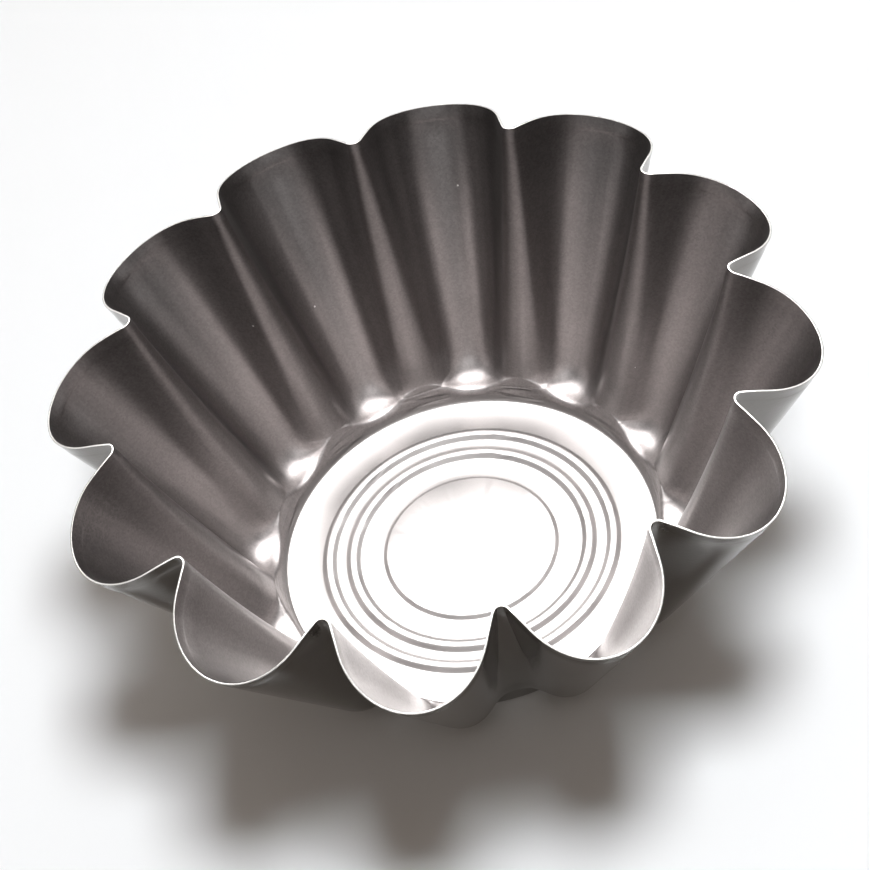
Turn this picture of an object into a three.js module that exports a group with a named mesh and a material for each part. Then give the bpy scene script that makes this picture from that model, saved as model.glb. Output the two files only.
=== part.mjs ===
// A fluted babka pan: one sheet of steel, deep drawn into twelve flutes, with a non-stick lining baked
// on inside and a thin lacquer on the outside of the wall. The cut edge of the sheet stays bare at the rim.
// Millimetres, +Z up. The pan stands on the flat ring round its underside, with the origin at its middle.
import * as THREE from "three";

// Flutes: wide round lobes with narrow rounded notches between them
const FLUTES = 12;
const RIM_DIAMETER = 220; // across the crowns of opposite lobes
const NOTCH_DIAMETER = 178; // across the tips of opposite notches, at the rim
const NOTCH_ARC = 2.6; // radius of a notch's tip at the rim
const NOTCH_FLANK = 7.7; // straight side between the arcs of a notch and a lobe at the rim

// Rim: it waves, because a round blank reaches less high where it spreads out into a lobe
const NOTCH_HEIGHT = 90; // rim above the table at a notch
const LOBE_HEIGHT = 79; // rim above the table at a lobe's crown
const WAVE_BULGE = 0.38; // how far the rim between them arches over a straight line
const LIP_LENGTH = 3; // top band of the wall that the trimming tool turned more upright
const LIP_TURN = 12; // degrees by which the lip stands more upright than the wall

// Foot: a round conical band, above which each lobe ends in a rounded toe
const FLOOR_DIAMETER = 115.4; // where the floor would meet the band if the corner were sharp
const FLOOR_FILLET = 2.3; // inner radius between floor and band
const BAND_SLOPE = 70.6; // degrees from the table
const BAND_HEIGHT = 3.5; // from the floor up to the lower end of the toes
const TOE_HEIGHT = 6.8; // from the floor up to where the toes have turned into the lobes
const TOE_DEPTH = 5; // how far a lobe stands out beyond the notches at that height
const TOE_NOTCH_ARC = 11; // radius of a ridge at that height
const TOE_FLANK = 5.1; // straight side between the arcs of a ridge and a toe at that height

// Floor: a raised middle and two raised stiffening rings, pressed into the sheet
const PLATEAU_DIAMETER = 52.4;
const PLATEAU_RISE = 0.5;
const PLATEAU_SLOPE_WIDTH = 1.2;
const INNER_RING_DIAMETER = 72.1;
const OUTER_RING_DIAMETER = 86.8;
const RING_WIDTH = 4.8;
const RING_TOP_WIDTH = 1.2;
const RING_RISE = 0.8;

// Thicknesses
const SHEET = 0.5;
const LINING = 0.04;
const LACQUER = 0.03;

// Facets
const LOBE_STEPS = 3; // on half a lobe's arc
const FLANK_STEPS = 1;
const NOTCH_STEPS = 1; // on half a notch's arc
const FLOOR_STEPS = 48; // round each ring of the floor

const HALF_STEPS = LOBE_STEPS + FLANK_STEPS + NOTCH_STEPS;
const WALL_STEPS = 2 * HALF_STEPS * FLUTES;
const HALF_PITCH = Math.PI / FLUTES;
const TANGENT_STEP = 1e-4; // share of a turn used to measure the direction along a level

const radians = THREE.MathUtils.degToRad;
const polar = (radius, angle) => new THREE.Vector2(radius * Math.cos(angle), radius * Math.sin(angle));

// One lobed outline round the axis. Half a flute is the arc of the lobe from its crown, a straight flank and
// half the arc of the notch. The lobe's arc is the one that touches the flank and reaches the crown.
function lobedOutline(lobeRadius, notchRadius, notchArc, flankLength) {
  const notchCentre = polar(notchRadius + notchArc, HALF_PITCH);
  const behindCrown = lobeRadius - notchCentre.x;
  const squares = behindCrown ** 2 + notchCentre.y ** 2 - notchArc ** 2 - flankLength ** 2;
  const lobeArc = squares / (2 * (behindCrown + notchArc));
  const lobeCentre = new THREE.Vector2(lobeRadius - lobeArc, 0);
  const between = notchCentre.clone().sub(lobeCentre);
  const lobeTurn = between.angle() - Math.acos((lobeArc + notchArc) / between.length());
  const notchTurn = lobeTurn - HALF_PITCH;
  const flankStart = lobeCentre.clone().add(polar(lobeArc, lobeTurn));
  const flankEnd = notchCentre.clone().sub(polar(notchArc, lobeTurn));
  const lobeShare = LOBE_STEPS / HALF_STEPS;
  const flankShare = FLANK_STEPS / HALF_STEPS;
  const notchShare = NOTCH_STEPS / HALF_STEPS;

  // The point at a share from 0 at the crown to 1 at the notch's tip.
  function halfFlute(share) {
    if (share <= lobeShare) {
      return lobeCentre.clone().add(polar(lobeArc, (lobeTurn * share) / lobeShare));
    }
    if (share <= lobeShare + flankShare) {
      return flankStart.clone().lerp(flankEnd, (share - lobeShare) / flankShare);
    }
    const turned = (notchTurn * (share - lobeShare - flankShare)) / notchShare;
    return notchCentre.clone().sub(polar(notchArc, lobeTurn - turned));
  }

  // The point at a share of the whole turn, with a crown at 0.
  return (turn) => {
    const flute = Math.round(turn * FLUTES);
    const across = 2 * (turn * FLUTES - flute);
    const point = halfFlute(Math.abs(across));
    if (across < 0) point.y = -point.y;
    return point.rotateAround(new THREE.Vector2(), 2 * HALF_PITCH * flute);
  };
}

// The reference surface is the inner face of the steel, given level by level from the middle of the floor
// to the rim. A level is a function from a share of the turn to a point.
const floorZ = SHEET;
const bandLean = 1 / Math.tan(radians(BAND_SLOPE));
const bandRadius = (height) => FLOOR_DIAMETER / 2 + height * bandLean;
const rimOutline = lobedOutline(RIM_DIAMETER / 2, NOTCH_DIAMETER / 2, NOTCH_ARC, NOTCH_FLANK);
const toeNotchRadius = bandRadius(TOE_HEIGHT);
const toeOutline = lobedOutline(toeNotchRadius + TOE_DEPTH, toeNotchRadius, TOE_NOTCH_ARC, TOE_FLANK);

function rimPoint(turn) {
  const flat = rimOutline(turn);
  const inwards = (RIM_DIAMETER / 2 - flat.length()) / (RIM_DIAMETER / 2 - NOTCH_DIAMETER / 2);
  const wave = inwards + WAVE_BULGE * inwards * (1 - inwards);
  return new THREE.Vector3(flat.x, flat.y, LOBE_HEIGHT + (NOTCH_HEIGHT - LOBE_HEIGHT) * wave);
}

function toePoint(turn) {
  const flat = toeOutline(turn);
  return new THREE.Vector3(flat.x, flat.y, floorZ + TOE_HEIGHT);
}

// The lip's lower edge: the wall runs straight from the toe to here and turns upright into the lip.
function lipPoint(turn) {
  const rim = rimPoint(turn);
  const wall = rim.clone().sub(toePoint(turn)).normalize();
  const flat = Math.hypot(wall.x, wall.y);
  const lean = Math.atan2(wall.z, flat) + radians(LIP_TURN);
  const up = new THREE.Vector3(0, 0, LIP_LENGTH * Math.sin(lean));
  const out = new THREE.Vector3(wall.x, wall.y, 0).multiplyScalar((LIP_LENGTH * Math.cos(lean)) / flat);
  return rim.sub(up).sub(out);
}

const middleOfWall = (turn) => toePoint(turn).lerp(lipPoint(turn), 0.5);

// A circle of the floor or the band, whose points keep the bearings of the toes above them.
function circle(radius, height) {
  return (turn) => {
    const bearing = toeOutline(turn).angle();
    return new THREE.Vector3(radius * Math.cos(bearing), radius * Math.sin(bearing), floorZ + height);
  };
}

function stiffeningRing(diameter) {
  const middle = diameter / 2;
  return [
    circle(middle - RING_WIDTH / 2, 0),
    circle(middle - RING_TOP_WIDTH / 2, RING_RISE),
    circle(middle + RING_TOP_WIDTH / 2, RING_RISE),
    circle(middle + RING_WIDTH / 2, 0),
  ];
}

const filletReach = FLOOR_FILLET * Math.tan(radians(BAND_SLOPE) / 2);
const filletStart = FLOOR_DIAMETER / 2 - filletReach;
function filletCircle(share) {
  const turned = share * radians(BAND_SLOPE);
  return circle(filletStart + FLOOR_FILLET * Math.sin(turned), FLOOR_FILLET * (1 - Math.cos(turned)));
}

const floorLevels = [
  circle(PLATEAU_DIAMETER / 2 - PLATEAU_SLOPE_WIDTH / 2, PLATEAU_RISE),
  circle(PLATEAU_DIAMETER / 2 + PLATEAU_SLOPE_WIDTH / 2, 0),
  ...stiffeningRing(INNER_RING_DIAMETER),
  ...stiffeningRing(OUTER_RING_DIAMETER),
];
const wallLevels = [
  filletCircle(0),
  filletCircle(0.5),
  circle(bandRadius(BAND_HEIGHT), BAND_HEIGHT),
  toePoint,
  middleOfWall,
  lipPoint,
  rimPoint,
];
const levels = [...floorLevels, ...wallLevels];
const lacquerStart = floorLevels.length + 1; // halfway up the fillet, so that the pan stands on bare steel

// The point of a level moved off the reference surface, inwards and up where the distance is positive.
// The two bands that meet there both move by the full distance, so flat bands stay flat.
function offsetPoint(index, turn, distance) {
  const here = levels[index](turn);
  const along = levels[index](turn + TANGENT_STEP).sub(levels[index](turn - TANGENT_STEP));
  const below = index > 0 ? levels[index - 1](turn) : new THREE.Vector3(0, 0, here.z);
  const above = index < levels.length - 1 ? levels[index + 1](turn) : here.clone().multiplyScalar(2).sub(below);
  const normalBelow = here.clone().sub(below).cross(along).normalize();
  const normalAbove = above.sub(here).cross(along).normalize();
  const mitre = normalBelow.clone().add(normalAbove).divideScalar(1 + normalBelow.dot(normalAbove));
  return here.addScaledVector(mitre, distance);
}

// A closed solid between two distances from the reference surface, from one level up to the rim.
function layerGeometry(upperDistance, lowerDistance, firstLevel) {
  const positions = [];
  const triangles = [];

  function addVertex(point) {
    positions.push(point.x, point.y, point.z);
    return positions.length / 3 - 1;
  }

  function addLevel(index, distance) {
    const steps = index < floorLevels.length ? FLOOR_STEPS : WALL_STEPS;
    const ring = [];
    for (let step = 0; step < steps; step += 1) {
      ring.push(addVertex(offsetPoint(index, step / steps, distance)));
    }
    return ring;
  }

  // Triangles between two rings, which may have different counts, facing up where the second is outside.
  function stitch(inner, outer, flipped) {
    let a = 0;
    let b = 0;
    while (a < inner.length || b < outer.length) {
      const stepOuter = b < outer.length && (b + 1) / outer.length <= (a + 1) / inner.length;
      const corner = [inner[a % inner.length], outer[b % outer.length]];
      const next = stepOuter ? outer[(b + 1) % outer.length] : inner[(a + 1) % inner.length];
      triangles.push(corner[flipped ? 1 : 0], corner[flipped ? 0 : 1], next);
      if (stepOuter) b += 1;
      else a += 1;
    }
  }

  function addSheet(distance, flipped) {
    const rings = [];
    for (let index = firstLevel; index < levels.length; index += 1) {
      rings.push(addLevel(index, distance));
      if (rings.length > 1) stitch(rings.at(-2), rings.at(-1), flipped);
    }
    if (firstLevel === 0) {
      const middle = addVertex(new THREE.Vector3(0, 0, floorZ + PLATEAU_RISE + distance));
      rings[0].forEach((vertex, step) => {
        const next = rings[0][(step + 1) % rings[0].length];
        triangles.push(middle, flipped ? next : vertex, flipped ? vertex : next);
      });
    }
    return rings;
  }

  const upper = addSheet(upperDistance, false);
  const lower = addSheet(lowerDistance, true);
  stitch(upper.at(-1), lower.at(-1), false);
  if (firstLevel > 0) stitch(lower[0], upper[0], false);
  const geometry = new THREE.BufferGeometry();
  geometry.setAttribute("position", new THREE.Float32BufferAttribute(positions, 3));
  geometry.setIndex(triangles);
  geometry.computeVertexNormals();
  return geometry;
}

const nonstickCoat = new THREE.MeshStandardMaterial({ color: 0x6e6868, roughness: 0.3, metalness: 0.6 });
const bareSteel = new THREE.MeshStandardMaterial({ color: 0xb9b9b7, roughness: 0.35, metalness: 1 });
const outerCoat = new THREE.MeshStandardMaterial({ color: 0x34332f, roughness: 0.35, metalness: 0.4 });

const pan = new THREE.Group();
pan.name = "babka_pan";
function addLayer(name, geometry, material) {
  const mesh = new THREE.Mesh(geometry, material);
  mesh.name = name;
  pan.add(mesh);
}
addLayer("nonstick_lining", layerGeometry(LINING, 0, 0), nonstickCoat);
addLayer("steel_shell", layerGeometry(0, -SHEET, 0), bareSteel);
addLayer("outer_lacquer", layerGeometry(-SHEET, -SHEET - LACQUER, lacquerStart), outerCoat);

export default pan;
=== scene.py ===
from math import acos, atan2, cos, pi, radians, sin, tan

import bmesh
import bpy
from mathutils import Matrix, Vector


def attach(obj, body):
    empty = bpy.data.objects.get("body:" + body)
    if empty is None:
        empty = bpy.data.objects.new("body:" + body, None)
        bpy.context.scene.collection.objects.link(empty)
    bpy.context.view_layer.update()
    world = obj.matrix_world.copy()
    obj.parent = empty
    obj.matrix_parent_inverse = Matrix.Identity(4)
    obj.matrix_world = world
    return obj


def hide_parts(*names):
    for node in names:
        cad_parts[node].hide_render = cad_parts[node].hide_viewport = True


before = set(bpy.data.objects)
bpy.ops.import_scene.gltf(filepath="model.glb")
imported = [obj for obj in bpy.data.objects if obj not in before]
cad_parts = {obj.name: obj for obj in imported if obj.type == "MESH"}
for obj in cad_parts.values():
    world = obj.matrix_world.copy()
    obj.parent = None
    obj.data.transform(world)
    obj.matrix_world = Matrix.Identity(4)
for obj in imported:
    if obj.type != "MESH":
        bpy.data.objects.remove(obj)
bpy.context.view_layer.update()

MM = 0.001

# Flutes: wide round lobes with narrow rounded notches between them, in millimetres as on a drawing
FLUTES = 12
RIM_DIAMETER = 220  # across the crowns of opposite lobes
NOTCH_DIAMETER = 178  # across the tips of opposite notches
NOTCH_ARC = 2.6
NOTCH_FLANK = 7.7

# Rim: it waves, high at the notches and low at the crowns
NOTCH_HEIGHT = 90
LOBE_HEIGHT = 79
WAVE_BULGE = 0.38
LIP_LENGTH = 4  # top band of the wall, above the mark of the trimming tool
LIP_TURN = radians(1)
JOG_LENGTH = 0.9  # the mark itself, a short stretch that stands more upright than the wall
JOG_TURN = radians(9)

# Foot: a conical band round the floor, above which each lobe ends in a scooped toe
FLOOR_DIAMETER = 113.6
FLOOR_FILLET = 1
BAND_SLOPE = radians(71)
BAND_HEIGHT = 4.2  # of the band at the middle of a toe
TOE_LIFT = 4.4  # how much higher the edge of a toe is beside it than at its middle
TOE_LIFT_POWER = 1.3  # above 1, the edge stays low over more of the toe
TOE_SLOPE = radians(-7)  # of its floor, which falls outwards
TOE_EDGE = 1.8  # how far the rounding of its edge reaches down the band
TOE_EDGE_SHARE = 0.3  # how far that rounding reaches over the floor of the toe
TOE_ROUNDING = 7.5  # how far up the wall the rounding of a toe reaches
TOE_HEIGHT = 6.8  # at which the outline of the toes is given
TOE_DEPTH = 9.5
TOE_NOTCH_ARC = 9.5
TOE_FLANK = 4
RIDGE_BOW = 1.1  # how far a ridge bows outwards halfway up

# Floor: a raised middle and two raised stiffening rings
PLATEAU_DIAMETER = 52.4
PLATEAU_RISE = 0.9
PLATEAU_SLOPE_WIDTH = 1.4
INNER_RING_DIAMETER = 72.1
OUTER_RING_DIAMETER = 86.8
RING_WIDTH = 4.8
RING_TOP_WIDTH = 1.3
RING_RISE = 1.2
SLOPE_EASING = 0.3  # 0 is a straight slope, 1 a fully S-shaped one

# Thicknesses
SHEET = 0.5
LINING = 0.04
LACQUER = 0.03
CUT_EDGE_ROUNDING = 0.08

# Finish of the lining
# Below this height the grey of the wall is at its lightest; above it the grey darkens towards the rim
COAT_LIGHTEST_BELOW = 30
WALL_GREY_ABOVE = 3  # between these two heights the grey of the wall gives way to a lighter grey on the floor, a painted highlight
FLOOR_HIGHLIGHT_BELOW = 1.7
ROUGH_BELOW = 18  # from here down the gloss of the wall fades to that of the floor
WALL_ROUGHNESS = 0.28
FLOOR_ROUGHNESS = 0.4
FLAKE_ROUGHNESS = 0.06  # by how much the roughness differs between flakes
FLAKE_TONE = 0.3  # shares of the flakes and of the height in the grey of the coat, which is darker towards the rim
HEIGHT_TONE = 0.4
FLAKE_SPACING = 0.55
FLAKE_RELIEF = 0.005
STREAK_RADIUS = 80  # at which the streaks have their spacing
STREAK_SPACING = 2.2
SPARKLE_SPACING = 9
SPARKLE_SIZE = 0.3
SPARKLES_KEPT = 0.25  # share of the places that have a sparkle
WRINKLE_LENGTH = 14
WRINKLE_SPACING = 2.2
WRINKLE_RELIEF = 0.8
WRINKLE_BENDING = 0.6
WRINKLES_BELOW = 11
WRINKLES_ABOVE = 0.7
WRINKLES_FULL = 2  # height at which they no longer fade towards the floor
RIDGE_STARTS = 0.5  # cosine of the angle within a flute, which is 1 on a crown and -1 on a ridge
RIDGE_FULL = -0.6

# Finish of the steel, of the lacquer and of both
ROLLING_SPACING = 0.5
ROLLING_LENGTH = 25
ROLLING_RELIEF = 0.02
STEEL_ROUGHNESS = (0.24, 0.46)  # between the lines of the rolling and on them
RIPPLE_SPACING = 1.1
RIPPLE_RELIEF = 0.03
LACQUER_ROUGHNESS = (0.11, 0.15)  # in the dips of the ripple and on its tops
CLOUD_SPACING = 28

# Fineness of the meshes
LOBE_STEPS = 12  # on half a lobe's arc
FLANK_STEPS = 4
NOTCH_STEPS = 4  # on half a notch's arc
HALF_STEPS = LOBE_STEPS + FLANK_STEPS + NOTCH_STEPS
AROUND = 2 * HALF_STEPS * FLUTES
SLOPE_LEVELS = 6
FILLET_LEVELS = 4
BAND_LEVELS = 6
TOE_EDGE_LEVELS = 5
TOE_LEVELS = 10
WALL_LEVELS = 14
JOG_LEVELS = 3
LIP_LEVELS = 2
SHARP_ANGLE = radians(35)
SEAM_GAP = 1e-4  # vertices of the spun cone that are nearer than this are one

# Camera: where the photograph was taken from
CAMERA_AIM = Vector((-3.9, 8.5, 45))
CAMERA_BEARING = radians(-76.76)
CAMERA_ELEVATION = radians(50.15)
CAMERA_DISTANCE = 823.9
CAMERA_ROLL = radians(-14.93)
CAMERA_LENS = 116.7
CAMERA_SENSOR = 36

# Studio: softboxes by bearing, elevation, distance and size in metres, energy in watts
KEY = {"bearing": 5, "elevation": 81.5, "distance": 1.3, "width": 0.4, "height": 0.4, "energy": 15.6}
BACK = {"bearing": 94, "elevation": 64, "distance": 1.1, "width": 1.3, "height": 1.25, "energy": 72}
FRONT = {"bearing": -77, "elevation": 44, "distance": 1.1, "width": 0.9, "height": 0.55, "energy": 4}
PAPER_SIZE = 3  # half its side, in metres
PAPER_ROUGHNESS = 0.9
PAPER_GAP = 0.05  # keeps the paper from sharing a plane with the base of the pan, in millimetres
PAPER_FADES = 0.35  # from this far out, in metres, the paper fades into the white of the room
PAPER_FADED = 0.8
LAMP_COLOUR = (0.97, 1, 1.03)  # slightly cool, which balances the warm light of the room on the paper
ROOM_LIGHT = [0.19, 0.157, 0.13, 1]
DIM_BEARING = radians(-83)  # middle of the dim side of the room, behind the camera
DIM_ELEVATION = radians(25)
DIM_SIDE = 0.32
DIM_FULL = 0.7  # cosine of the angle from its middle at which it is fully dim

HALF_PITCH = pi / FLUTES
UP = Vector((0, 0, 1))


def polar(radius, angle):
    return Vector((radius * cos(angle), radius * sin(angle)))


def shares(count):
    """Even shares of 1, without 0."""
    return [step / count for step in range(1, count + 1)]


def lobed_outline(lobe_radius, notch_radius, notch_arc, flank_length):
    """A level outline of the flutes: the arc of a lobe, a straight flank and the arc of a notch, repeated.

    Gives a function from a share of the turn, with a crown at 0, to a point.
    """
    notch_centre = polar(notch_radius + notch_arc, HALF_PITCH)
    behind_crown = lobe_radius - notch_centre.x
    squares = behind_crown**2 + notch_centre.y**2 - notch_arc**2 - flank_length**2
    lobe_arc = squares / (2 * (behind_crown + notch_arc))
    lobe_centre = Vector((lobe_radius - lobe_arc, 0))
    between = notch_centre - lobe_centre
    lobe_turn = atan2(between.y, between.x) - acos((lobe_arc + notch_arc) / between.length)
    notch_turn = lobe_turn - HALF_PITCH
    flank_start = lobe_centre + polar(lobe_arc, lobe_turn)
    flank_end = notch_centre - polar(notch_arc, lobe_turn)

    def half_flute(step):
        if step <= LOBE_STEPS:
            return lobe_centre + polar(lobe_arc, lobe_turn * step / LOBE_STEPS)
        step -= LOBE_STEPS
        if step <= FLANK_STEPS:
            return flank_start.lerp(flank_end, step / FLANK_STEPS)
        step -= FLANK_STEPS
        return notch_centre - polar(notch_arc, lobe_turn - notch_turn * step / NOTCH_STEPS)

    def outline(turn):
        flute = round(turn * FLUTES)
        across = 2 * (turn * FLUTES - flute)
        point = half_flute(abs(across) * HALF_STEPS)
        if across < 0:
            point.y = -point.y
        return Matrix.Rotation(2 * HALF_PITCH * flute, 2) @ point

    return outline


def band_radius(height):
    return FLOOR_DIAMETER / 2 + height / tan(BAND_SLOPE)


rim_outline = lobed_outline(RIM_DIAMETER / 2, NOTCH_DIAMETER / 2, NOTCH_ARC, NOTCH_FLANK)
ridge_radius = band_radius(TOE_HEIGHT)
toe_outline = lobed_outline(ridge_radius + TOE_DEPTH, ridge_radius, TOE_NOTCH_ARC, TOE_FLANK)


def slope(from_radius, from_height, to_radius, to_height):
    """Radii and heights along a slightly S-shaped step of the floor, without its first point."""
    points = []
    for share in shares(SLOPE_LEVELS):
        eased = share * share * (3 - 2 * share)
        mixed = share + (eased - share) * SLOPE_EASING
        radius = from_radius + (to_radius - from_radius) * share
        points.append((radius, from_height + (to_height - from_height) * mixed))
    return points


def stiffening_ring(diameter):
    middle = diameter / 2
    foot = RING_WIDTH / 2
    top = RING_TOP_WIDTH / 2
    rise = slope(middle - foot, 0, middle - top, RING_RISE)
    fall = slope(middle + top, RING_RISE, middle + foot, 0)
    return [(middle - foot, 0), *rise, (middle + top, RING_RISE), *fall]


def floor_section():
    """Radii and heights above the floor from its middle to the upper end of the fillet round it."""
    edge = PLATEAU_DIAMETER / 2
    half_slope = PLATEAU_SLOPE_WIDTH / 2
    points = [(0, PLATEAU_RISE), (edge - half_slope, PLATEAU_RISE)]
    points += slope(edge - half_slope, PLATEAU_RISE, edge + half_slope, 0)
    points += stiffening_ring(INNER_RING_DIAMETER)
    points += stiffening_ring(OUTER_RING_DIAMETER)
    fillet_start = FLOOR_DIAMETER / 2 - FLOOR_FILLET * tan(BAND_SLOPE / 2)
    for share in [0, *shares(FILLET_LEVELS)]:
        turned = BAND_SLOPE * share
        points.append((fillet_start + FLOOR_FILLET * sin(turned), FLOOR_FILLET * (1 - cos(turned))))
    return points


FLOOR_SECTION = floor_section()
LACQUER_START = len(FLOOR_SECTION) - 1 - FILLET_LEVELS // 2


def rim_point(turn):
    flat = rim_outline(turn)
    inwards = (RIM_DIAMETER / 2 - flat.length) / (RIM_DIAMETER / 2 - NOTCH_DIAMETER / 2)
    wave = inwards + WAVE_BULGE * inwards * (1 - inwards)
    return flat.to_3d() + UP * (LOBE_HEIGHT + (NOTCH_HEIGHT - LOBE_HEIGHT) * wave)


def rounded(start, corner, end, count):
    """Points on the parabola that leads from start to end and touches both lines to the corner."""
    return [start.lerp(corner, share).lerp(corner.lerp(end, share), share) for share in shares(count)]


def straight(start, end, count):
    return [start.lerp(end, share) for share in shares(count)]


def bowed(start, end, bow, count):
    """Points on the parabola from start to end that is bowed by that much halfway."""
    return [start.lerp(end, share) + bow * 4 * share * (1 - share) for share in shares(count)]


def section(turn):
    """The inner face of the steel at a share of the turn, from the middle of the floor to the rim."""
    toe_flat = toe_outline(turn)
    toe_line = toe_flat.to_3d() + UP * (SHEET + TOE_HEIGHT)
    bearing = toe_flat.normalized().to_3d()
    points = [bearing * radius + UP * (SHEET + height) for radius, height in FLOOR_SECTION]
    ridge_share = sin(FLUTES / 2 * atan2(toe_flat.y, toe_flat.x)) ** 2

    # The line down the wall, from the rim over the lip and the jog below it
    rim = rim_point(turn)
    wall = rim - toe_line
    outwards = wall.xy.normalized().to_3d()
    lean = atan2(wall.z, wall.xy.length)
    lip_foot = rim - (outwards * cos(lean + LIP_TURN) + UP * sin(lean + LIP_TURN)) * LIP_LENGTH
    jog_foot = lip_foot - (outwards * cos(lean + JOG_TURN) + UP * sin(lean + JOG_TURN)) * JOG_LENGTH
    climb = (jog_foot - toe_line) / (jog_foot.z - toe_line.z)

    # The toe: a scoop with an almost level floor, pressed outwards from the band
    edge_height = BAND_HEIGHT + TOE_LIFT * ridge_share**TOE_LIFT_POWER
    level_with_edge = jog_foot + climb * (SHEET + edge_height - jog_foot.z)
    away = level_with_edge.xy.normalized().to_3d()
    gap = max(level_with_edge.xy.length - band_radius(edge_height), 0)
    edge = level_with_edge - away * gap
    toe = level_with_edge + climb * gap / (1 / tan(TOE_SLOPE) - climb.dot(away))
    below_edge = edge - (away * cos(BAND_SLOPE) + UP * sin(BAND_SLOPE)) * TOE_EDGE
    beyond_edge = edge.lerp(toe, TOE_EDGE_SHARE)
    wall_foot = toe + climb.normalized() * TOE_ROUNDING

    points += straight(points[-1], below_edge, BAND_LEVELS)
    points += rounded(below_edge, edge, beyond_edge, TOE_EDGE_LEVELS)
    points += rounded(beyond_edge, toe, wall_foot, TOE_LEVELS)
    points += bowed(wall_foot, jog_foot, outwards * RIDGE_BOW * ridge_share, WALL_LEVELS)
    points += straight(jog_foot, lip_foot, JOG_LEVELS)
    points += straight(lip_foot, rim, LIP_LEVELS)
    return points


SECTIONS = [section(step / AROUND) for step in range(AROUND)]


def spun_cone():
    """A plain cone with a ring of vertices for each level of the sections, at a height of its number."""
    mesh = bmesh.new()
    line = [mesh.verts.new((level, 0, level)) for level in range(len(SECTIONS[0]))]
    edges = [mesh.edges.new(pair) for pair in zip(line, line[1:])]
    bmesh.ops.spin(
        mesh, geom=line + edges, cent=(0, 0, 0), axis=UP, angle=2 * pi, steps=AROUND, use_merge=True
    )
    bmesh.ops.remove_doubles(mesh, verts=mesh.verts, dist=SEAM_GAP)
    bmesh.ops.recalc_face_normals(mesh, faces=mesh.faces)
    if sum(face.normal.z for face in mesh.faces) < 0:
        bmesh.ops.reverse_faces(mesh, faces=mesh.faces)
    return mesh


CONE = spun_cone()


def sheet_above(first_level):
    """The inner face of the steel from one level to the rim: the cone with each vertex at its place."""
    mesh = CONE.copy()
    lower = [vertex for vertex in mesh.verts if round(vertex.co.z) < first_level]
    bmesh.ops.delete(mesh, geom=lower, context="VERTS")
    for vertex in mesh.verts:
        step = round(atan2(vertex.co.y, vertex.co.x) / (2 * pi) * AROUND)
        vertex.co = SECTIONS[step % AROUND][round(vertex.co.z)] * MM
    return mesh


def move_along_normals(mesh, verts, distance):
    mesh.normal_update()
    moves = [(vertex, vertex.normal * vertex.calc_shell_factor() * distance) for vertex in verts]
    for vertex, move in moves:
        vertex.co += move


def add_object(name, mesh):
    data = bpy.data.meshes.new(name)
    mesh.to_mesh(data)
    mesh.free()
    added = bpy.data.objects.new(name, data)
    bpy.context.scene.collection.objects.link(added)
    return added


def add_layer(name, first_level, upper, lower, edge_rounding=0):
    """A layer of the pan between two distances from the inner face of the steel, inwards positive."""
    mesh = sheet_above(first_level)
    move_along_normals(mesh, mesh.verts, upper * MM)
    copied = bmesh.ops.duplicate(mesh, geom=mesh.verts[:] + mesh.edges[:] + mesh.faces[:])["geom"]
    lower_verts = [part for part in copied if isinstance(part, bmesh.types.BMVert)]
    lower_faces = [part for part in copied if isinstance(part, bmesh.types.BMFace)]
    move_along_normals(mesh, lower_verts, (lower - upper) * MM)
    bmesh.ops.reverse_faces(mesh, faces=lower_faces)
    borders = [edge for edge in mesh.edges if edge.is_boundary]
    rim = [edge for edge in borders if edge.verts[0].co.z > LOBE_HEIGHT / 2 * MM]
    foot = [edge for edge in borders if edge.verts[0].co.z <= LOBE_HEIGHT / 2 * MM]
    bmesh.ops.bridge_loops(mesh, edges=rim)
    if foot:
        bmesh.ops.bridge_loops(mesh, edges=foot)
    if edge_rounding:
        bmesh.ops.bevel(
            mesh, geom=rim, offset=edge_rounding * MM, segments=2, profile=0.5, affect="EDGES", material=-1
        )
    for face in mesh.faces:
        face.smooth = True
    for edge in mesh.edges:
        edge.smooth = edge.calc_face_angle() < SHARP_ANGLE
    return add_object(name, mesh)


def linear(hex_colour):
    """An sRGB hex colour as linear red, green, blue and alpha."""
    channels = [int(hex_colour[at : at + 2], 16) / 255 for at in (1, 3, 5)]
    return [c / 12.92 if c <= 0.04045 else ((c + 0.055) / 1.055) ** 2.4 for c in channels] + [1]


def add_node(tree, kind, links=None, **settings):
    """Adds a node with its settings. Links are its inputs: a socket to join, or a plain value.

    A mix of colours has its factor at input 0, its colours at 6 and 7 and its result at output 2.
    """
    node = tree.nodes.new(kind)
    for name, value in settings.items():
        setattr(node, name, value)
    for socket, value in (links or {}).items():
        if isinstance(value, bpy.types.NodeSocket):
            tree.links.new(value, node.inputs[socket])
        else:
            node.inputs[socket].default_value = value
    return node


def new_material(name):
    material = bpy.data.materials.new(name)
    material.use_nodes = True
    material.node_tree.nodes.clear()
    return material


def finish_material(material, **surface):
    """Joins a principled shader with these inputs to the output of a material."""
    tree = material.node_tree
    inputs = {name.replace("_", " ").title(): value for name, value in surface.items()}
    shader = add_node(tree, "ShaderNodeBsdfPrincipled", inputs)
    add_node(tree, "ShaderNodeOutputMaterial", {"Surface": shader.outputs["BSDF"]})
    return material


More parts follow.
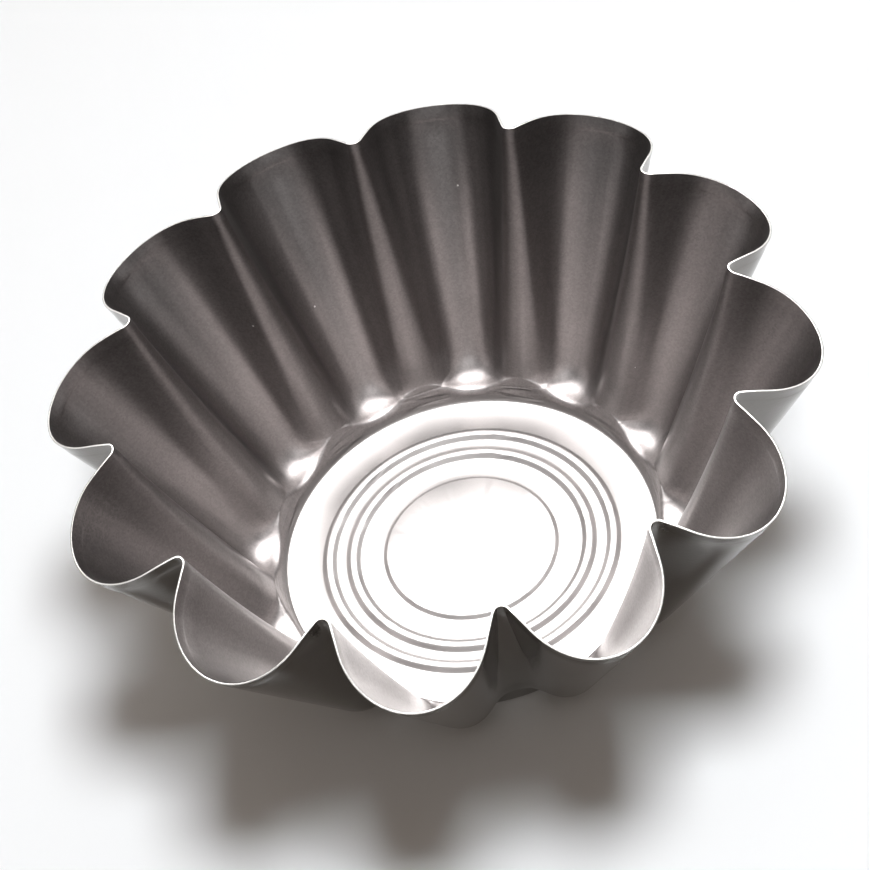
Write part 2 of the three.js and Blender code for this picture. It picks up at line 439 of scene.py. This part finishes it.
def coat_colour(tree, place, height, flake):
    """Grey of the coat: darker towards the rim, with streaks up the flutes and faint clouds, and a lighter
    grey on the floor that is a painted highlight.
    """
    # Lighter low on the wall and darker towards the rim
    lower_down = add_node(tree, "ShaderNodeMapRange", {
        "Value": height, "From Min": COAT_LIGHTEST_BELOW * MM, "From Max": LOBE_HEIGHT * MM,
        "To Min": 1, "To Max": 0})
    flat = add_node(tree, "ShaderNodeVectorMath", {0: place, 1: (1, 1, 0)}, operation="MULTIPLY")
    bearing = add_node(tree, "ShaderNodeVectorMath", {0: flat.outputs[0]}, operation="NORMALIZE")
    streaks = add_node(tree, "ShaderNodeTexNoise", {
        "Vector": bearing.outputs[0], "Scale": STREAK_RADIUS / STREAK_SPACING, "Detail": 3})
    clouds = add_node(tree, "ShaderNodeTexNoise", {
        "Vector": place, "Scale": 1 / (CLOUD_SPACING * MM), "Detail": 2})
    lines = add_node(tree, "ShaderNodeMath", {0: streaks.outputs["Fac"], 1: clouds.outputs["Fac"]},
                     operation="MULTIPLY")
    speckled = add_node(tree, "ShaderNodeMath", {0: flake, 1: FLAKE_TONE, 2: lines.outputs[0]},
                        operation="MULTIPLY_ADD")
    tone = add_node(tree, "ShaderNodeMath", {
        0: lower_down.outputs[0], 1: HEIGHT_TONE, 2: speckled.outputs[0]}, operation="MULTIPLY_ADD")
    wall = add_node(tree, "ShaderNodeMix", {
        0: tone.outputs[0], 6: linear("#625f5e"), 7: linear("#8b8685")}, data_type="RGBA")
    # A lighter grey on the floor of the pan than on its wall: a painted highlight, so that the floor shines
    # white
    floor_highlight = add_node(tree, "ShaderNodeMapRange", {
        "Value": height, "From Min": WALL_GREY_ABOVE * MM, "From Max": FLOOR_HIGHLIGHT_BELOW * MM})
    return add_node(tree, "ShaderNodeMix", {
        0: floor_highlight.outputs[0], 6: wall.outputs[2], 7: linear("#8f8c8b")}, data_type="RGBA").outputs[2]


def with_sparkles(tree, place, colour):
    """Adds large flakes that catch the light, one here and there."""
    spread = add_node(tree, "ShaderNodeTexVoronoi", {"Vector": place, "Scale": 1 / (SPARKLE_SPACING * MM)})
    near = add_node(tree, "ShaderNodeMath", {
        0: spread.outputs["Distance"], 1: SPARKLE_SIZE / SPARKLE_SPACING}, operation="LESS_THAN")
    chance = add_node(tree, "ShaderNodeSeparateColor", {"Color": spread.outputs["Color"]})
    chosen = add_node(tree, "ShaderNodeMath", {0: chance.outputs["Green"], 1: 1 - SPARKLES_KEPT},
                      operation="GREATER_THAN")
    sparkle = add_node(tree, "ShaderNodeMath", {0: near.outputs[0], 1: chosen.outputs[0]},
                       operation="MULTIPLY")
    return add_node(tree, "ShaderNodeMix", {
        0: sparkle.outputs[0], 6: colour, 7: linear("#e8e6e2")}, data_type="RGBA").outputs[2]


def wrinkled_normal(tree, place):
    """Wrinkles round the feet of the ridges, where the sheet was pushed together."""
    parts = add_node(tree, "ShaderNodeSeparateXYZ", {"Vector": place}).outputs
    height = parts["Z"]
    angle = add_node(tree, "ShaderNodeMath", {0: parts["Y"], 1: parts["X"]}, operation="ARCTAN2")
    around = add_node(tree, "ShaderNodeMath", {
        0: angle.outputs[0], 1: FLOOR_DIAMETER / 2 / WRINKLE_LENGTH}, operation="MULTIPLY")
    upwards = add_node(tree, "ShaderNodeMath", {0: height, 1: 1 / (WRINKLE_SPACING * MM)},
                       operation="MULTIPLY")
    unrolled = add_node(tree, "ShaderNodeCombineXYZ", {"X": around.outputs[0], "Y": upwards.outputs[0]})
    folds = add_node(tree, "ShaderNodeTexNoise", {
        "Vector": unrolled.outputs[0], "Scale": 1, "Detail": 1, "Distortion": WRINKLE_BENDING})

    # Where they are: on the ridges, and low, but not on the floor
    flute = add_node(tree, "ShaderNodeMath", {0: angle.outputs[0], 1: FLUTES}, operation="MULTIPLY")
    swing = add_node(tree, "ShaderNodeMath", {0: flute.outputs[0]}, operation="COSINE")
    ridge = add_node(tree, "ShaderNodeMapRange", {
        "Value": swing.outputs[0], "From Min": RIDGE_STARTS, "From Max": RIDGE_FULL},
        interpolation_type="SMOOTHSTEP")
    low = add_node(tree, "ShaderNodeMapRange", {
        "Value": height, "From Min": WRINKLES_BELOW * MM, "From Max": WRINKLES_BELOW / 2 * MM},
        interpolation_type="SMOOTHSTEP")
    above_floor = add_node(tree, "ShaderNodeMapRange", {
        "Value": height, "From Min": WRINKLES_ABOVE * MM, "From Max": WRINKLES_FULL * MM})
    foot = add_node(tree, "ShaderNodeMath", {0: low.outputs[0], 1: ridge.outputs[0]}, operation="MULTIPLY")
    strength = add_node(tree, "ShaderNodeMath", {0: foot.outputs[0], 1: above_floor.outputs[0]},
                        operation="MULTIPLY")
    return add_node(tree, "ShaderNodeBump", {
        "Height": folds.outputs["Fac"], "Strength": strength.outputs[0],
        "Distance": WRINKLE_RELIEF * MM}).outputs["Normal"]


def nonstick_coat():
    """Sprayed and baked non-stick coat: dark grey with metal flake, which makes a soft metallic gloss.

    The spray is darker towards the rim, and rougher on the floor, where it shines white under the softbox;
    the floor also has a lighter grey, a painted highlight.
    """
    material = new_material("sprayed_nonstick_coat")
    tree = material.node_tree
    place = add_node(tree, "ShaderNodeTexCoord").outputs["Object"]
    height = add_node(tree, "ShaderNodeSeparateXYZ", {"Vector": place}).outputs["Z"]

    # Flakes are far finer than this, which is as fine as the render shows
    flakes = add_node(tree, "ShaderNodeTexVoronoi", {"Vector": place, "Scale": 1 / (FLAKE_SPACING * MM)})
    flake = add_node(tree, "ShaderNodeSeparateColor", {"Color": flakes.outputs["Color"]})
    gloss = add_node(tree, "ShaderNodeMapRange", {
        "Value": height, "From Min": BAND_HEIGHT * MM, "From Max": ROUGH_BELOW * MM,
        "To Min": FLOOR_ROUGHNESS, "To Max": WALL_ROUGHNESS})
    roughness = add_node(tree, "ShaderNodeMath", {
        0: flake.outputs["Green"], 1: FLAKE_ROUGHNESS, 2: gloss.outputs[0]}, operation="MULTIPLY_ADD")
    grain = add_node(tree, "ShaderNodeBump", {
        "Height": flakes.outputs["Distance"], "Distance": FLAKE_RELIEF * MM,
        "Normal": wrinkled_normal(tree, place)})
    colour = with_sparkles(tree, place, coat_colour(tree, place, height, flake.outputs["Red"]))
    return finish_material(
        material, base_color=colour, metallic=1, roughness=roughness.outputs[0], normal=grain.outputs[0]
    )


def bare_steel():
    """Cold-rolled steel sheet: satin grey with fine lines along the rolling, bright where it was cut."""
    material = new_material("cold_rolled_steel")
    tree = material.node_tree
    place = add_node(tree, "ShaderNodeTexCoord").outputs["Object"]
    across = 1 / (ROLLING_SPACING * MM)
    stretched = add_node(tree, "ShaderNodeMapping", {
        "Vector": place, "Scale": (1 / (ROLLING_LENGTH * MM), across, across)})
    rolling = add_node(tree, "ShaderNodeTexNoise", {"Vector": stretched.outputs[0], "Scale": 1, "Detail": 3})
    clouds = add_node(tree, "ShaderNodeTexNoise", {
        "Vector": place, "Scale": 1 / (CLOUD_SPACING * MM), "Detail": 2})
    tone = add_node(tree, "ShaderNodeMath", {0: rolling.outputs["Fac"], 1: clouds.outputs["Fac"]},
                    operation="ADD")
    colour = add_node(tree, "ShaderNodeMix", {
        0: tone.outputs[0], 6: linear("#a9a7a3"), 7: linear("#cfcdc9")}, data_type="RGBA")
    roughness = add_node(tree, "ShaderNodeMapRange", {
        "Value": rolling.outputs["Fac"], "To Min": STEEL_ROUGHNESS[0], "To Max": STEEL_ROUGHNESS[1]})
    lines = add_node(tree, "ShaderNodeBump", {
        "Height": rolling.outputs["Fac"], "Distance": ROLLING_RELIEF * MM})
    return finish_material(
        material, base_color=colour.outputs[2], metallic=1, roughness=roughness.outputs[0],
        normal=lines.outputs[0]
    )


def outer_lacquer():
    """Sprayed heat-resistant lacquer: dark grey with metal powder, so glossy that it mirrors the paper."""
    material = new_material("sprayed_heat_lacquer")
    tree = material.node_tree
    place = add_node(tree, "ShaderNodeTexCoord").outputs["Object"]
    clouds = add_node(tree, "ShaderNodeTexNoise", {
        "Vector": place, "Scale": 1 / (CLOUD_SPACING * MM), "Detail": 4})
    colour = add_node(tree, "ShaderNodeMix", {
        0: clouds.outputs["Fac"], 6: linear("#726f6c"), 7: linear("#84817e")}, data_type="RGBA")
    ripple = add_node(tree, "ShaderNodeTexNoise", {
        "Vector": place, "Scale": 1 / (RIPPLE_SPACING * MM), "Detail": 2})
    roughness = add_node(tree, "ShaderNodeMapRange", {
        "Value": ripple.outputs["Fac"], "To Min": LACQUER_ROUGHNESS[0], "To Max": LACQUER_ROUGHNESS[1]})
    peel = add_node(tree, "ShaderNodeBump", {
        "Height": ripple.outputs["Fac"], "Distance": RIPPLE_RELIEF * MM})
    return finish_material(
        material, base_color=colour.outputs[2], metallic=1, roughness=roughness.outputs[0],
        normal=peel.outputs[0]
    )


def dress(piece, node, material):
    piece.data.materials.append(material)
    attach(piece, "root")
    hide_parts(node)


lining = add_layer("pan_nonstick_lining", 0, LINING, 0)
shell = add_layer("pan_steel_shell", 0, 0, -SHEET, CUT_EDGE_ROUNDING)
lacquer = add_layer("pan_outer_lacquer", LACQUER_START, -SHEET, -SHEET - LACQUER)
dress(lining, "nonstick_lining", nonstick_coat())
dress(shell, "steel_shell", bare_steel())
dress(lacquer, "outer_lacquer", outer_lacquer())


def add_floor():
    """A wide sheet of matt white paper, which keeps the shadow of the pan and fades into the white room."""
    mesh = bmesh.new()
    bmesh.ops.create_grid(mesh, x_segments=1, y_segments=1, size=PAPER_SIZE)
    bmesh.ops.translate(mesh, verts=mesh.verts, vec=UP * -PAPER_GAP * MM)
    floor = add_object("floor", mesh)
    paper = new_material("white_paper")
    tree = paper.node_tree
    place = add_node(tree, "ShaderNodeTexCoord").outputs["Object"]
    reach = add_node(tree, "ShaderNodeVectorMath", {0: place}, operation="LENGTH")
    far = add_node(tree, "ShaderNodeMapRange", {
        "Value": reach.outputs["Value"], "From Min": PAPER_FADES, "From Max": PAPER_FADED},
        interpolation_type="SMOOTHSTEP")
    path = add_node(tree, "ShaderNodeLightPath").outputs
    seen = add_node(tree, "ShaderNodeMath", {0: path["Is Camera Ray"], 1: path["Is Glossy Ray"]},
                    operation="MAXIMUM")
    white = add_node(tree, "ShaderNodeMath", {0: far.outputs[0], 1: seen.outputs[0]}, operation="MULTIPLY")
    matt = add_node(tree, "ShaderNodeBsdfPrincipled", {
        "Base Color": linear("#f4f5f6"), "Roughness": PAPER_ROUGHNESS})
    room = add_node(tree, "ShaderNodeEmission")
    faded = add_node(tree, "ShaderNodeMixShader", {
        0: white.outputs[0], 1: matt.outputs[0], 2: room.outputs[0]})
    add_node(tree, "ShaderNodeOutputMaterial", {"Surface": faded.outputs[0]})
    floor.data.materials.append(paper)


def direction(bearing, elevation):
    flat = polar(cos(elevation), bearing)
    return Vector((flat.x, flat.y, sin(elevation)))


def add_softbox(name, lights_paper, bearing, elevation, distance, width, height, energy):
    """A rectangular lamp that faces the pan. It either lights the paper or is mirrored in the pan."""
    lamp = bpy.data.lights.new(name, "AREA")
    lamp.shape = "RECTANGLE"
    lamp.size = width
    lamp.size_y = height
    lamp.energy = energy
    lamp.color = LAMP_COLOUR if lights_paper else (1, 1, 1)
    box = bpy.data.objects.new(name, lamp)
    box.visible_diffuse = lights_paper
    box.visible_glossy = not lights_paper
    towards = direction(radians(bearing), radians(elevation))
    box.location = towards * distance
    box.rotation_euler = (-towards).to_track_quat("-Z", "Y").to_euler()
    bpy.context.scene.collection.objects.link(box)


def add_world():
    """A white studio, mirrored dim behind the camera, which sheds only a little warm light by itself."""
    world = bpy.data.worlds.new("studio")
    bpy.context.scene.world = world
    world.use_nodes = True
    tree = world.node_tree
    tree.nodes.clear()
    path = add_node(tree, "ShaderNodeLightPath").outputs
    seen = add_node(tree, "ShaderNodeMath", {0: path["Is Camera Ray"], 1: path["Is Glossy Ray"]},
                    operation="MAXIMUM")
    white = add_node(tree, "ShaderNodeMath", {0: seen.outputs[0], 1: path["Is Transmission Ray"]},
                     operation="MAXIMUM")
    sight = add_node(tree, "ShaderNodeTexCoord").outputs["Generated"]
    front = add_node(tree, "ShaderNodeVectorMath", {
        0: sight, 1: direction(DIM_BEARING, DIM_ELEVATION)}, operation="DOT_PRODUCT")
    dimmed = add_node(tree, "ShaderNodeMapRange", {
        "Value": front.outputs["Value"], "From Min": 0, "From Max": DIM_FULL,
        "To Min": 1, "To Max": DIM_SIDE}, interpolation_type="SMOOTHSTEP")
    mirrored = add_node(tree, "ShaderNodeMix", {0: path["Is Glossy Ray"], 2: 1, 3: dimmed.outputs[0]})
    colour = add_node(tree, "ShaderNodeMix", {
        0: white.outputs[0], 6: ROOM_LIGHT, 7: mirrored.outputs[0]}, data_type="RGBA")
    background = add_node(tree, "ShaderNodeBackground", {"Color": colour.outputs[2]})
    add_node(tree, "ShaderNodeOutputWorld", {"Surface": background.outputs["Background"]})


def add_camera():
    lens = bpy.data.cameras.new("photograph_view")
    lens.lens = CAMERA_LENS
    lens.sensor_width = CAMERA_SENSOR
    camera = bpy.data.objects.new("photograph_view", lens)
    away = direction(CAMERA_BEARING, CAMERA_ELEVATION)
    camera.location = (CAMERA_AIM + away * CAMERA_DISTANCE) * MM
    level = (-away).to_track_quat("-Z", "Y").to_matrix()
    camera.rotation_euler = (level @ Matrix.Rotation(CAMERA_ROLL, 3, "Z")).to_euler()
    bpy.context.scene.collection.objects.link(camera)
    bpy.context.scene.camera = camera


add_floor()
add_softbox("overhead_key", lights_paper=True, **KEY)
add_softbox("back_softbox", lights_paper=False, **BACK)
add_softbox("front_softbox", lights_paper=False, **FRONT)
add_world()
add_camera()
bpy.context.scene.view_settings.view_transform = "Standard"
